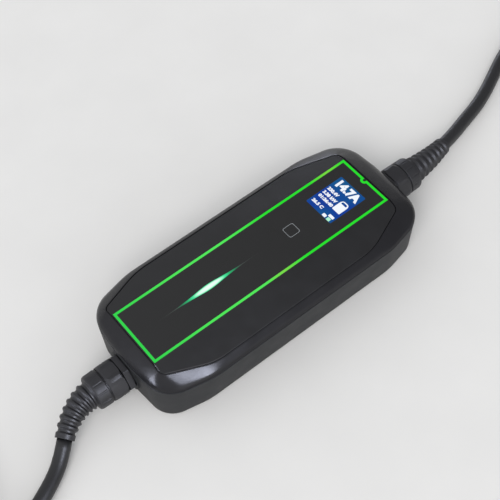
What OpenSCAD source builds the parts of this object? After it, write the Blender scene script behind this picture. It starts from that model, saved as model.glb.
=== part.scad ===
// Portable EV charger: an in-cable control box with a supply lead and a vehicle cable.
// Millimetres. +X points to the display end, +Z up, origin under the middle of the housing.

/* [Housing] */
// Length along the parting line
housing_l = 247; // [237:1:262]
// Width along the parting line
housing_w = 107; // [103.5:0.5:115.5]
// Height to the top of the front panel
housing_h = 52; // [49:0.5:58]
// Height of the upper shell, from the parting line to the panel's top
band_h = 13.5; // [11.5:0.5:14.5]
// Wall thickness of the lower shell
wall_t = 3.2; // [2.8:0.1:3.8]
// Radius of the edge round the bottom
foot_r = 4; // [3:0.5:5]

/* [Front] */
// Width of the green line
border_line = 2; // [1.4:0.1:3]
// Width of the green border outside
border_w = 49.8; // [47:0.2:53]
// Fall of the front's wings from the panel to their edge
wing_drop = 7; // [4:0.2:8]
// Shadow gap round the fascia
fascia_gap = 0.3; // [0.2:0.05:0.6]
// Length of the display's lit field
display_l = 35; // [30:0.5:38]
// Width of the display's lit field
display_w = 27; // [24:0.5:30]
// Length of the charging light
light_l = 92; // [70:1:96]
// Width of the charging light at its middle
light_w = 5.6; // [4:0.2:7]
// Diameter of the touch field
key_d = 9; // [7:0.5:10]

/* [Cables] */
// Outside diameter of both cables
cable_d = 11; // [10:0.5:12]
// Thread diameter of the cable glands
gland_thread_d = 20; // [19:0.5:21]
// Diameter of the gland nut's round end
gland_nut_d = 28.4; // [27:0.2:30]
// Diameter of the bend boot at its root
boot_root_d = 22; // [20:0.5:23]

/* [Hidden] */
$fn = 64;
eps = 0.01;
corner_n = 11;
shoulder_n = 7;
half_l = housing_l / 2;
half_w = housing_w / 2;
seam_z = housing_h - band_h;

// Front: the fascia sits a little towards the vehicle end
face_x = -4.4;
border_l = housing_l - 33.2;
crease_y = border_w / 2;
face_a = border_l / 2 + 1.4;
face_w = half_w - 5.7;
wing_slope = wing_drop / (face_w - crease_y);
fascia_t = 2.4;
panel_t = 1.2;
deck_t = 2;
notch_r = 2.2;
notch_x = face_x + border_l / 2 - border_line / 2;
// Middle of the display from the border's end, and places of the key and the light along the border
display_in = 29.4;
key_place = 0.161;
light_place = -0.193;
spindle = 1.7;
display_x = face_x + border_l / 2 - display_in;
key_x = face_x + key_place * border_l;
light_x = face_x + light_place * border_l;

// Outlines: half length, half width, half width at the end, taper of the sides, corner radius,
// shoulder radius, lean of the ends and half width of their flat
end_flat = 12;
seam_o = [half_l, half_w, half_w - 8.8, 12, 25, 60, 4.8, end_flat];
bottom_o = [half_l - 2, half_w - 4.65, half_w - 12.2, 12, 18.5, 60, 4.3, end_flat];
face_o = [face_a, face_w, crease_y + 9.2, 21, 6, 50, 0, crease_y];

// Parting line, seal, and lower edge of the band: its upright height and its share of the slope
rim_z = seam_z - 1.2;
rim_edge = 0.5;
band_edge = 0.5;
band_skirt = 2;
band_bend = 0.4;
band_rings = 5;
seal_out = 0.9;
seal_in = 2.3;
seal_depth = 1;
floor_t = 3;
upper_wall = 2.6;

// Housing screws
screw_end_x = half_l - 26.5;
screw_end_y = half_w - 20.25;
screw_side_y = half_w - 11.25;
screw_at = concat(
  [for (x = [-1, 1], y = [-1, 1]) [x * screw_end_x, y * screw_end_y]],
  [for (y = [-1, 1]) [0, y * screw_side_y]]
);
screw_tip_z = seam_z + band_h / 4;
screw_r = 1.5;
screw_seat_z = 4;
head_r = 3;
boss_r = 4;

// Main board
board_l = housing_l - 69;
board_w = housing_w - 32.5;
board_z = 11;
board_t = 1.6;
board_top = board_z + board_t;
standoff_at = [for (x = [-1 : 1], y = [-1, 1]) [x * (board_l / 2 - 8), y * (board_w / 2 - 5)]];
standoff_r = 3.5;
board_screw_r = 1.25;
board_head_r = 2.3;
board_head_t = 1.8;
board_screw_l = 6;
link_x = 26 - board_l / 2;

// Display board under the deck
deck_low = housing_h - fascia_t - deck_t;
display_board_t = 1.2;
display_board_top = deck_low - 2.4;
display_board_w = 2 * crease_y - 4;
window_from = light_x - light_l / 2;
window_to = display_x + display_l / 2;
display_board_l = window_to - window_from + 10;
display_board_x = (window_from + window_to) / 2;
post_x = display_board_l / 2 - 12;
post_y = display_board_w / 2 - 3;
post_at = [for (x = [-1, 1], y = [-1, 1]) [display_board_x + x * post_x, y * post_y]];
post_r = 2.2;
post_screw_r = 0.9;
post_head_r = 1.9;
post_head_t = 1.4;
deck_gap_l = display_board_l - 1;
deck_gap_w = display_board_w - 12;

// Cable glands, the same at both ends
gland_z = seam_z / 2 + 0.5;
gland_seat = half_l - 0.2;
gland_inside = half_l - 9.5;
gland_pad_r = 16;
locknut_r = gland_thread_d / 2 + 5;
locknut_t = 5;
gland_pad_top = rim_z - seal_depth - 0.5;
washer_t = 0.8;
hex_af = gland_nut_d - 1.6;
hex_t = 4.4;
nut_x = gland_seat + washer_t + hex_t + 0.6;
nut_hex_l = 12;
nut_groove_l = 1;
nut_round_l = 10.2;
nut_flutes = 12;
nut_end = nut_x + nut_hex_l + nut_groove_l + nut_round_l;
thread_end = nut_x + 9;
stub_end = nut_end - 4;
stub_inside = half_l - 23.5;
core_r = 1.6;
terminal_x = half_l - 47.5;

// Bend boots: the nut's mouth, the point that steers the bend, and the end of the ribs
cable_r = cable_d / 2;
boot_ribs = 7;
boot_rings_per_rib = 4;
boot_supply = [[nut_end, 0, gland_z], [nut_end + 20, 0, gland_z], [nut_end + 38, 5, gland_z - 4]];
boot_vehicle = [[-nut_end, 0, gland_z], [-nut_end - 16, 0, gland_z], [-nut_end - 31, -12, gland_z - 7]];
boot_tip = 2;

// Supply lead: from the boot's end down to the surface, out along it, and round a bend up to the plug
plug_at = [394, 7, 18.5];
supply_route = concat(
  [boot_end(boot_supply), boot_end(boot_supply) + 0.9 * (boot_supply[2] - boot_supply[1])],
  [[230, 16.5, 9], [251, 23, 6.8], [271, 31, 5.9], [290, 40, 5.7], [310, 49, 5.7], [330, 55.5, 5.7]],
  [
    [345, 58, 5.8], [360.5, 56.5, 6.8], [374.5, 50, 9], [385.5, 39, 12.5],
    [392, 25.5, 16.4], [394, 14, 18.5], plug_at
  ]
);
plug_boot_l = 18;
plug_body_l = 34;
plug_body_r = 18.5;
plug_grooves = 4;
pin_r = 2.4;
pin_l = 19;
pin_gap = 19;
pin_root_r = 3;
pin_root_l = 12;

// Vehicle cable: a hank of three layers in line with the box, with the connector on top
hank_x = -320;
hank_run = 200;
hank_bend = 33;
hank_turns = 7 / 3;
hank_layers = 3;
tie_t = 1.5;
tie_w = 20;
tie_x = [-352, -490];
hank_out = hank_bend + cable_d * (hank_turns - 0.25);
hank_top = tie_t + hank_layers * cable_d;
vehicle_route = concat(
  [boot_end(boot_vehicle), boot_end(boot_vehicle) + 0.9 * (boot_vehicle[2] - boot_vehicle[1])],
  [
    [-215, -34.5, 5.8], [-236, -44, 5.7], [-260, -51, 5.7], [-285, -55, 6.3],
    [hank_x + 12, -hank_out, tie_t + cable_r]
  ]
);
connector_z = 62;
connector_x = -412;
end_z = hank_top + cable_r;
end_route = concat(
  [[hank_x, -hank_bend, end_z], [-340, -29.5, end_z + 2.5], [-361, -16.5, end_z + 8.5]],
  [[-382, -4, end_z + 16.5], [-401, 0, connector_z], [connector_x, 0, connector_z]]
);
connector_boot_l = 30;
grip_l = 104;
grip_neck_r = 20;
grip_grooves = 6;
nose_l = 36;
nose_r = 25;
cap_wall = 2;
grip_r = connector_z - hank_top - tie_t;

// Helpers for outlines and skins

function flip(v) = [for (i = [len(v) - 1 : -1 : 0]) v[i]];

// A quarter of the eight-sided outline, from the end's flat to the long side. The corner's circle touches
// the leaning end and the tapering side, and the shoulder's circle touches the taper and the long side.
function quarter(o, inset) =
  let (
    a = o[0],
    w = o[1],
    f = o[3],
    rc = o[4],
    rs = o[5],
    e = o[6],
    side = a * sin(f) + o[2] * cos(f),
    end = a * cos(e) + o[7] * sin(e),
    cx = ((end - rc) * cos(f) - (side - rc) * sin(e)) / cos(e + f),
    cy = ((side - rc) * cos(e) - (end - rc) * sin(f)) / cos(e + f),
    sx = (side - rs - (w - rs) * cos(f)) / sin(f)
  )
  concat(
    [[a - inset, min(o[7], cy - 0.5)]],
    [for (i = [0 : corner_n]) [cx, cy] + (rc - inset) * around(e + (90 - f - e) * i / corner_n)],
    [for (i = [0 : shoulder_n]) [sx, w - rs] + (rs - inset) * around(90 - f + f * i / shoulder_n)]
  );

function around(angle) = [cos(angle), sin(angle)];

function outline(o, inset, cx = 0) =
  let (q = quarter(o, inset), r = flip(q))
  concat(
    [for (p = q) [cx + p[0], p[1]]],
    [for (p = r) [cx - p[0], p[1]]],
    [for (p = q) [cx - p[0], -p[1]]],
    [for (p = r) [cx + p[0], -p[1]]]
  );

function level(points, z) = [for (p = points) [p[0], p[1], z]];

// Height of the front: flat at the panel, falling along both wings.
function roof_z(y) = housing_h - max(0, abs(y) - crease_y) * wing_slope;

function roof(points, drop) = [for (p = points) [p[0], p[1], roof_z(p[1]) - drop]];

function face(inset) = outline(face_o, inset, face_x);

function skin_faces(n, m, wrap) =
  [
    for (j = [0 : m - (wrap ? 1 : 2)], i = [0 : n - 1])
      let (k = (i + 1) % n, l = (j + 1) % m)
      each [[j * n + i, l * n + i, l * n + k], [j * n + i, l * n + k, j * n + k]]
  ];

// Closed skin over rings of outline points, with caps that fold along the panel's two long edges.
module skin(rings) {
  n = len(rings[0]);
  m = len(rings);
  h = n / 2;
  low = [[for (i = [0 : h - 1]) i], [for (i = [h : n - 1]) i], [0, h - 1, h, n - 1]];
  high = [for (f = low) [for (i = flip(f)) i + (m - 1) * n]];
  polyhedron(points = [for (r = rings) each r], faces = concat(low, skin_faces(n, m, false), high));
}

// Closed ring: the skin goes round from the last ring to the first.
module ring_skin(rings) {
  polyhedron(points = [for (r = rings) each r], faces = skin_faces(len(rings[0]), len(rings), true));
}

function unit(v) = v / norm(v);

function heading(path, i) = unit(path[min(i + 1, len(path) - 1)] - path[max(i - 1, 0)]);

function hoop(at, along, r, sides) =
  let (side = unit(cross(along, [0, 0, 1])), up = cross(side, along))
  [for (i = [0 : sides - 1]) at + r * (cos(360 * i / sides) * up + sin(360 * i / sides) * side)];

// Round tube along a path, with its own radius at each point.
module sweep(path, radii, sides) {
  m = len(path);
  rings = [for (i = [0 : m - 1]) hoop(path[i], heading(path, i), radii[i], sides)];
  low = [for (i = [0 : sides - 1]) i];
  high = [for (i = flip(low)) i + (m - 1) * sides];
  polyhedron(points = [for (r = rings) each r], faces = concat([low], skin_faces(sides, m, false), [high]));
}

module cord(path) {
  sweep(path, [for (p = path) cable_r], 12);
}

function boot_end(c) = c[2] + boot_tip * unit(c[2] - c[1]);

function bend(c, t) = (1 - t) * (1 - t) * c[0] + 2 * t * (1 - t) * c[1] + t * t * c[2];

module wire(path) {
  sweep(path, [for (p = path) core_r], 10);
}

module block(size, at) {
  translate([at[0] - size[0] / 2, at[1] - size[1] / 2, at[2]])
    cube(size);
}

// Places a child that points along +Z so that it points out of one end at the gland's height.
module at_gland(end) {
  translate([0, 0, gland_z])
    rotate([0, end * 90, 0])
      children();
}

module tube(r_out, r_in, from, to) {
  translate([0, 0, from])
    difference() {
      cylinder(r = r_out, h = to - from);
      translate([0, 0, -eps])
        cylinder(r = r_in, h = to - from + 2 * eps);
    }
}

// Housing

function lower_o(z) = [for (i = [0 : 7]) bottom_o[i] + (seam_o[i] - bottom_o[i]) * z / rim_z];

function lower_ring(z, inset) = level(outline(lower_o(z), inset), z);

module lower_shell() {
  outer = [for (t = [0 : 18 : 90]) lower_ring(foot_r * (1 - cos(t)), foot_r * (1 - sin(t)))];
  rim = [lower_ring(rim_z - rim_edge, 0), lower_ring(rim_z, rim_edge), lower_ring(rim_z, seal_out)];
  groove = [for (d = [seal_out, seal_in]) lower_ring(rim_z - seal_depth, d)];
  inner = [lower_ring(rim_z, seal_in), lower_ring(rim_z, wall_t), lower_ring(floor_t + 2, wall_t)];
  color("#4a4b4d")
    difference() {
      union() {
        skin(concat(outer, rim, groove, inner, [lower_ring(floor_t, wall_t + 2)]));
        for (end = [-1, 1])
          intersection() {
            at_gland(end)
              translate([0, 0, gland_inside])
                cylinder(r = gland_pad_r, h = gland_seat - gland_inside);
            block([housing_l, housing_w, gland_pad_top], [0, 0, 0]);
          }
        for (p = screw_at)
          translate([p[0], p[1], floor_t - 1])
            cylinder(r = boss_r, h = seam_z - floor_t + 1);
        for (p = standoff_at)
          translate([p[0], p[1], floor_t - 1])
            cylinder(r = standoff_r, h = board_z - floor_t + 1);
      }
      for (end = [-1, 1])
        at_gland(end)
          translate([0, 0, gland_inside - 5])
            cylinder(r = gland_thread_d / 2, h = 20);
      for (p = screw_at)
        translate([p[0], p[1], -eps]) {
          cylinder(r = head_r + 0.4, h = screw_seat_z + eps);
          cylinder(r = screw_r + 0.2, h = seam_z + 1);
        }
      for (p = standoff_at)
        translate([p[0], p[1], floor_t + 1])
          cylinder(r = board_screw_r, h = board_z);
    }
}

// Ring of the band's lower edge at a share of its bend: upright at the parting line, then curving into
// the slope that runs to the rim of the front.
function band_ring(share) =
  let (
    low = level(outline(seam_o, 0), seam_z + band_edge),
    high = roof(face(-0.9), 0.15),
    skirt = [0, 0, band_skirt]
  )
  [
    for (i = [0 : len(low) - 1])
      low[i] + share * (2 - share) * skirt + share * share * band_bend * (high[i] - low[i] - skirt)
  ];

module upper_shell() {
  skirt = level(outline(seam_o, band_edge), seam_z);
  edge = [for (i = [0 : band_rings]) band_ring(i / band_rings)];
  rim = [roof(face(-0.9), 0.15), roof(face(-0.6), 0)];
  cavity = [
    level(outline(seam_o, upper_wall), seam_z - 1),
    level(outline(seam_o, upper_wall + 0.8), seam_z + 1)
  ];
  color("#2b2b2e")
    difference() {
      union() {
        difference() {
          skin(concat([skirt], edge, rim));
          skin([roof(face(0), fascia_t), level(face(0), housing_h + 5)]);
          skin(concat(cavity, [roof(face(3.4), fascia_t + deck_t)]));
        }
        for (p = screw_at)
          translate([p[0], p[1], seam_z])
            cylinder(r = boss_r, h = roof_z(abs(p[1]) + boss_r) - fascia_t - 0.6 - seam_z);
        for (p = post_at)
          translate([p[0], p[1], display_board_top])
            cylinder(r = post_r, h = deck_low - display_board_top + 1);
      }
      block([deck_gap_l, deck_gap_w, 20], [display_board_x, 0, deck_low - 10]);
      for (p = screw_at)
        translate([p[0], p[1], seam_z - 1])
          cylinder(r = screw_r, h = screw_tip_z - seam_z + 1);
      for (p = post_at)
        translate([p[0], p[1], display_board_top - 1])
          cylinder(r = post_screw_r, h = 3.4);
    }
}

module housing_seal() {
  low = rim_z - seal_depth;
  color("#141414")
    ring_skin([
      lower_ring(low, seal_out),
      lower_ring(rim_z, seal_out),
      level(outline(seam_o, seal_out), seam_z),
      level(outline(seam_o, seal_in), seam_z),
      lower_ring(rim_z, seal_in),
      lower_ring(low, seal_in)
    ]);
}

module housing_screws() {
  color("silver")
    for (p = screw_at)
      translate([p[0], p[1], screw_seat_z])
        difference() {
          union() {
            translate([0, 0, -2.4])
              cylinder(r = head_r, h = 2.4);
            cylinder(r = screw_r, h = screw_tip_z - screw_seat_z);
          }
          translate([0, 0, -2.4 - eps])
            cylinder(r = 1.4, h = 1.5, $fn = 6);
        }
}

// Flat shape of the tab that reaches into the border's half-round notch.
module notch_tab(r) {
  translate([notch_x, 0])
    circle(r = r);
  translate([notch_x, -r])
    square([border_line, 2 * r]);
}

// Flat shape of the charging light: a spindle whose half width falls from its middle to a point at each end.
module light_shape(l, w) {
  steps = 12;
  side = [for (i = [1 - steps : steps - 1]) [i * l / (2 * steps), w / 2 * pow(1 - abs(i) / steps, spindle)]];
  translate([light_x, 0])
    polygon(concat(
      [[-l / 2, 0]],
      side,
      [[l / 2, 0]],
      [for (i = [len(side) - 1 : -1 : 0]) [side[i][0], -side[i][1]]]
    ));
}

module fascia() {
  color("#2a2a2c")
    difference() {
      skin([roof(face(fascia_gap), fascia_t), roof(face(fascia_gap), 0.5), roof(face(fascia_gap + 0.5), 0)]);
      translate([0, 0, housing_h - panel_t])
        linear_extrude(panel_t + 1)
          difference() {
            translate([face_x, 0])
              square([border_l, border_w], center = true);
            notch_tab(notch_r - border_line / 2);
          }
      block([display_l, display_w, 4], [display_x, 0, housing_h - 4]);
      translate([key_x, 0, housing_h - 4])
        cylinder(r = key_d / 2, h = 4);
      translate([0, 0, housing_h - 4])
        linear_extrude(4)
          light_shape(light_l, light_w);
    }
}

module panel_shape() {
  difference() {
    translate([face_x, 0])
      square([border_l - 2 * border_line, border_w - 2 * border_line], center = true);
    translate([notch_x, 0])
      circle(r = notch_r + border_line / 2);
  }
}

module front_panel() {
  color("#1c1c1e")
    translate([0, 0, housing_h - panel_t])
      linear_extrude(panel_t)
        panel_shape();
}

module green_border() {
  color("#22dd22")
    translate([0, 0, housing_h - panel_t])
      linear_extrude(panel_t)
        difference() {
          translate([face_x, 0])
            square([border_l, border_w], center = true);
          panel_shape();
          notch_tab(notch_r - border_line / 2);
        }
}

// Behind the front

module display_board() {
  color("#1d5a35")
    difference() {
      block(
        [display_board_l, display_board_w, display_board_t],
        [display_board_x, 0, display_board_top - display_board_t]
      );
      for (p = post_at)
        translate([p[0], p[1], display_board_top - 5])
          cylinder(r = 1.2, h = 10);
    }
}

module display_board_screws() {
  low = display_board_top - display_board_t;
  color("silver")
    for (p = post_at) {
      translate([p[0], p[1], low - post_head_t])
        cylinder(r = post_head_r, h = post_head_t);
      translate([p[0], p[1], low - eps])
        cylinder(r = post_screw_r, h = display_board_t + 2);
    }
}

module display_module() {
  color("#0f3f96") {
    block(
      [display_l + 8, display_w + 3, housing_h - fascia_t - display_board_top],
      [display_x, 0, display_board_top]
    );
    block([display_l, display_w, fascia_t - panel_t + eps], [display_x, 0, housing_h - fascia_t - eps]);
  }
}

module charge_light() {
  foot = display_board_top + 1.4;
  color("#9af5c8") {
    block([light_l + 4, light_w + 3, housing_h - fascia_t - foot], [light_x, 0, foot]);
    translate([0, 0, housing_h - fascia_t - eps])
      linear_extrude(fascia_t - panel_t + eps)
        light_shape(light_l, light_w);
  }
}

module charge_leds() {
  color("#f2f2e6")
    for (i = [-3 : 3])
      block([3.5, 2.8, 1.4], [light_x + i * light_l / 7.5, 0, display_board_top]);
}

module touch_sensor() {
  color("#b98d3c")
    translate([key_x, 0, display_board_top])
      cylinder(r = key_d / 2, h = housing_h - panel_t - display_board_top);
}

// Main board

module main_board() {
  color("#1d5a35")
    difference() {
      block([board_l, board_w, board_t], [0, 0, board_z]);
      for (p = standoff_at)
        translate([p[0], p[1], board_z - 1])
          cylinder(r = board_screw_r + 0.2, h = 5);
    }
}

module main_board_screws() {
  color("silver")
    for (p = standoff_at) {
      translate([p[0], p[1], board_top])
        cylinder(r = board_head_r, h = board_head_t);
      translate([p[0], p[1], board_z - board_screw_l])
        cylinder(r = board_screw_r, h = board_screw_l + board_t + eps);
    }
}

module relays() {
  color("#24406e")
    for (s = [-1, 1])
      block([29, 13, 19], [14, s * 9, board_top]);
}

module leakage_sensor() {
  ring_r = 12;
  color("#303034")
    translate([50, 0, board_top])
      difference() {
        union() {
          translate([-5, 0, ring_r])
            rotate([0, 90, 0])
              cylinder(r = ring_r, h = 10);
          block([10, 16, 3], [0, 0, 0]);
        }
        translate([-10, 0, ring_r])
          rotate([0, 90, 0])
            cylinder(r = 6.5, h = 20);
      }
}

module power_module() {
  color("#e0c62e")
    block([30, 24, 20], [-28, -18, board_top]);
}

module capacitors() {
  color("#33363c")
    for (i = [0 : 2])
      translate([-44 + 15 * i, 12, board_top])
        cylinder(r = 6, h = 18);
}

module surge_parts() {
  color("#2f6fae")
    translate([56, -24, board_top])
      rotate([90, 0, 0])
        translate([0, 8, -2.5])
          cylinder(r = 8, h = 5);
  color("#cfd3d6")
    translate([40, 24, board_top + 3])
      rotate([0, 90, 0])
        cylinder(r = 3, h = 20);
}

module controller_chips() {
  color("#18181a") {
    block([12, 12, 1.6], [-32, 24.6, board_top]);
    block([8, 6, 1.4], [-54, -24, board_top]);
    block([6, 5, 1.4], [-12, 24, board_top]);
  }
}

module terminal(end) {
  color("#3c8f4e")
    difference() {
      block([12, 34, 14], [end * terminal_x, 0, board_top]);
      for (y = [-10, 0, 10])
        translate([end * terminal_x, y, board_top + 7])
          rotate([0, end * 90, 0])
            cylinder(r = core_r, h = 10);
    }
}

module board_link() {
  low = board_top + 3;
  high = display_board_top - display_board_t - 3;
  color("#d9d9d2") {
    block([0.6, 14, high - low + 2 * eps], [link_x, -8, low - eps]);
    block([5, 17, 3], [link_x, -8, board_top]);
    block([5, 17, 3], [link_x, -8, high]);
  }
}

module sensor_cores() {
  low = board_top + 7;
  mid = board_top + 12;
  color("#7a3b22")
    for (s = [-1, 1])
      wire([
        [terminal_x - 6, s * 3, mid],
        [40, s * 3, mid],
        [33, s * 5, low],
        [28.5, s * 5, low]
      ]);
}

// Cable entries

module gland_body(end) {
  hex_x = gland_seat + washer_t;
  color("#2b2b2d")
    at_gland(end)
      difference() {
        union() {
          translate([0, 0, hex_x])
            rotate(30)
              cylinder(r = hex_af / 2 / cos(30), h = hex_t, $fn = 6);
          translate([0, 0, gland_inside - 6])
            cylinder(r = gland_thread_d / 2, h = thread_end - gland_inside + 6);
        }
        translate([0, 0, gland_inside - 7])
          cylinder(r = cable_r + 0.3, h = thread_end - gland_inside + 8);
      }
}

module gland_washer(end) {
  color("#161616")
    at_gland(end)
      tube(12.6, gland_thread_d / 2, gland_seat, gland_seat + washer_t);
}

module gland_locknut(end) {
  color("#2b2b2d")
    at_gland(end)
      difference() {
        translate([0, 0, gland_inside - locknut_t])
          rotate(30)
            cylinder(r = locknut_r, h = locknut_t, $fn = 6);
        translate([0, 0, gland_inside - locknut_t - 1])
          cylinder(r = gland_thread_d / 2, h = locknut_t + 3);
      }
}

module gland_seal(end) {
  color("#1a1a1a")
    at_gland(end)
      tube(gland_thread_d / 2, cable_r, thread_end, stub_end);
}

module gland_nut(end) {
  round_x = nut_x + nut_hex_l + nut_groove_l;
  nut_r = gland_nut_d / 2;
  color("#2b2b2d")
    at_gland(end)
      difference() {
        union() {
          translate([0, 0, nut_x])
            intersection() {
              rotate(30)
                cylinder(r = (gland_nut_d - 1) / 2 / cos(30), h = nut_hex_l, $fn = 6);
              rotate_extrude()
                polygon([
                  [0, 0], [nut_r - 0.2, 0], [nut_r + 0.8, 1.2], [nut_r + 0.8, nut_hex_l - 3],
                  [nut_r - 0.6, nut_hex_l], [0, nut_hex_l]
                ]);
            }
          translate([0, 0, nut_x + nut_hex_l - eps])
            cylinder(r = nut_r - 1.8, h = nut_groove_l + 2 * eps);
          translate([0, 0, round_x])
            rotate_extrude()
              polygon([
                [0, 0], [nut_r - 0.9, 0], [nut_r - 0.5, 0.5], [nut_r - 0.7, nut_round_l - 1.6],
                [nut_r - 1.1, nut_round_l - 0.5], [nut_r - 1.8, nut_round_l], [0, nut_round_l]
              ]);
        }
        translate([0, 0, nut_x - 1])
          cylinder(r = gland_thread_d / 2, h = stub_end - nut_x + 1 + eps);
        translate([0, 0, stub_end])
          cylinder(r = boot_root_d / 2, h = nut_end - stub_end + 1);
        for (i = [1 : nut_flutes])
          rotate(360 / nut_flutes * (i + 0.5))
            translate([nut_r + 0.3, 0, round_x + 1.4])
              cylinder(r = 1.2, h = nut_round_l, $fn = 24);
      }
}

// Ribbed boot: its radius falls from the root to the cable, and every rib stands out of it.
module bend_boot(c) {
  last = boot_ribs * boot_rings_per_rib;
  root_r = boot_root_d / 2;
  tip_r = cable_r + 1.6;
  ribs = [for (i = [0 : last]) root_r + (tip_r - root_r) * i / last + rib_step(i)];
  color("#262628")
    sweep(
      concat(
        [[sign(c[0][0]) * stub_end, 0, gland_z]],
        [for (i = [0 : last]) bend(c, i / last)],
        [boot_end(c)]
      ),
      concat([root_r], ribs, [tip_r]),
      28
    );
}

function rib_step(i) = i == 0 ? 0 : [0, -1.3, -1.3, 0][i % boot_rings_per_rib];

module cable_stub(end) {
  color("#232325")
    at_gland(end)
      translate([0, 0, stub_inside])
        cylinder(r = cable_r, h = stub_end - stub_inside);
}

module cable_cores(end) {
  colours = ["#7a3b22", "#5f9e3a", "#2f62ad"];
  for (i = [-1 : 1])
    color(colours[i + 1])
      wire([
        [end * stub_inside, 3.3 * i, gland_z],
        [end * (stub_inside - 3), 3.3 * i, gland_z],
        [end * (terminal_x + 14), 10 * i, board_top + 7],
        [end * terminal_x, 10 * i, board_top + 7]
      ]);
}

// Supply lead and plug

module supply_cord() {
  color("#232325")
    cord(supply_route);
}

module at_plug() {
  translate(plug_at)
    rotate([90, 0, 0])
      children();
}

module plug_boot() {
  color("#262628")
    at_plug()
      difference() {
        cylinder(r1 = cable_r + 1.2, r2 = 11, h = plug_boot_l);
        for (i = [0 : 3])
          grooves(1, 2.5 + 3.8 * i, 0, cable_r + 1.2 + 0.8 * i, 1.6);
      }
}

// Row of grooves round a grip: first place, pitch, radius at their floor and width.
module grooves(count, from, pitch, floor_r, width) {
  for (i = [0 : count - 1])
    translate([0, 0, from + pitch * i])
      rotate_extrude()
        translate([floor_r, 0])
          square([5, width]);
}

module plug_body() {
  color("#2b2b2d")
    at_plug()
      translate([0, 0, plug_boot_l])
        difference() {
          rotate_extrude()
            polygon([
              [0, 0], [11, 0], [16, 6], [plug_body_r, 14],
              [plug_body_r, plug_body_l], [0, plug_body_l]
            ]);
          for (s = [-1, 1]) {
            translate([s * pin_gap / 2, 0, plug_body_l - pin_root_l])
              cylinder(r = pin_root_r, h = pin_root_l + 1);
            block([4, 6, 24], [0, s * (plug_body_r - 0.6), plug_body_l - 23]);
          }
          grooves(plug_grooves, 15, 4, plug_body_r - 0.7, 1.6);
        }
}

module plug_pins() {
  color("#b9b9b4")
    at_plug()
      for (s = [-1, 1])
        translate([s * pin_gap / 2, 0, plug_boot_l + plug_body_l]) {
          translate([0, 0, -pin_root_l])
            cylinder(r = pin_root_r, h = pin_root_l);
          translate([0, 0, -eps])
            cylinder(r = pin_r, h = pin_l - 1 + eps);
          translate([0, 0, pin_l - 1])
            cylinder(r1 = pin_r, r2 = pin_r - 0.9, h = 1);
        }
}

module plug_earth_clips() {
  color("#c8a24a")
    at_plug()
      for (s = [-1, 1])
        block([4, 1, 21], [0, s * (plug_body_r - 3.1), plug_boot_l + plug_body_l - 23]);
}

// Vehicle cable and connector

module vehicle_cord() {
  color("#232325")
    cord(vehicle_route);
}

module stadium(r) {
  translate([hank_x - hank_run, -r])
    square([hank_run, 2 * r]);
  for (x = [hank_x, hank_x - hank_run])
    translate([x, 0])
      circle(r = r);
}

module vehicle_hank() {
  color("#232325")
    translate([0, 0, tie_t])
      linear_extrude(hank_layers * cable_d)
        difference() {
          stadium(hank_out + cable_r);
          stadium(hank_bend - cable_r);
        }
}

module vehicle_cord_end() {
  color("#232325")
    cord(end_route);
}

module hank_ties() {
  wide = hank_out + cable_r;
  color("#38383a")
    for (x = tie_x)
      difference() {
        block([tie_w, 2 * (wide + tie_t), hank_top + tie_t], [x, 0, 0]);
        block([tie_w + 1, 2 * wide, hank_top - tie_t], [x, 0, tie_t]);
      }
}

module at_connector(from) {
  translate([connector_x - from, 0, connector_z])
    rotate([0, -90, 0])
      children();
}

module connector_boot() {
  color("#262628")
    at_connector(0)
      difference() {
        cylinder(r1 = cable_r + 1.2, r2 = 13, h = connector_boot_l);
        for (i = [0 : 4])
          grooves(1, 3 + 5 * i, 0, cable_r + 1.4 + 1.2 * i, 2);
      }
}

module connector_grip() {
  color("#2b2b2d")
    at_connector(connector_boot_l)
      difference() {
        rotate_extrude()
          polygon([
            [0, 0], [13, 0], [18, 8], [grip_neck_r, 18], [grip_neck_r, 50],
            [grip_r - 3, 62], [grip_r - 0.8, 68],
            [grip_r, 75], [grip_r, grip_l - 3], [grip_r - 3, grip_l], [0, grip_l]
          ]);
        grooves(grip_grooves, 20, 5, grip_neck_r - 0.9, 2.4);
      }
}

// Round nose with the flat that keys the coupling.
module nose_shape(r) {
  intersection() {
    circle(r = r);
    translate([-r, -r])
      square([2 * r - 7, 2 * r]);
  }
}

module connector_nose() {
  color("#1b1b1d")
    at_connector(connector_boot_l + grip_l)
      linear_extrude(nose_l)
        nose_shape(nose_r);
}

module connector_cap() {
  color("#202022")
    at_connector(connector_boot_l + grip_l + 1)
      difference() {
        linear_extrude(nose_l + 2)
          nose_shape(nose_r + cap_wall);
        translate([0, 0, -1])
          linear_extrude(nose_l)
            nose_shape(nose_r);
      }
}

lower_shell();
upper_shell();
housing_seal();
housing_screws();
fascia();
front_panel();
green_border();
display_board();
display_board_screws();
display_module();
charge_light();
charge_leds();
touch_sensor();
main_board();
main_board_screws();
relays();
leakage_sensor();
power_module();
capacitors();
surge_parts();
controller_chips();
terminal(1);  // terminal_supply
terminal(-1);  // terminal_vehicle
board_link();
sensor_cores();
gland_body(1);  // gland_body_supply
gland_body(-1);  // gland_body_vehicle
gland_washer(1);  // gland_washer_supply
gland_washer(-1);  // gland_washer_vehicle
gland_locknut(1);  // gland_locknut_supply
gland_locknut(-1);  // gland_locknut_vehicle
gland_seal(1);  // gland_seal_supply
gland_seal(-1);  // gland_seal_vehicle
gland_nut(1);  // gland_nut_supply
gland_nut(-1);  // gland_nut_vehicle
bend_boot(boot_supply);  // bend_boot_supply
bend_boot(boot_vehicle);  // bend_boot_vehicle
cable_stub(1);  // cable_stub_supply
cable_stub(-1);  // cable_stub_vehicle
cable_cores(1);  // cable_cores_supply
cable_cores(-1);  // cable_cores_vehicle
supply_cord();
plug_boot();
plug_body();
plug_pins();
plug_earth_clips();
vehicle_cord();
vehicle_hank();
vehicle_cord_end();
hank_ties();
connector_boot();
connector_grip();
connector_nose();
connector_cap();
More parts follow.
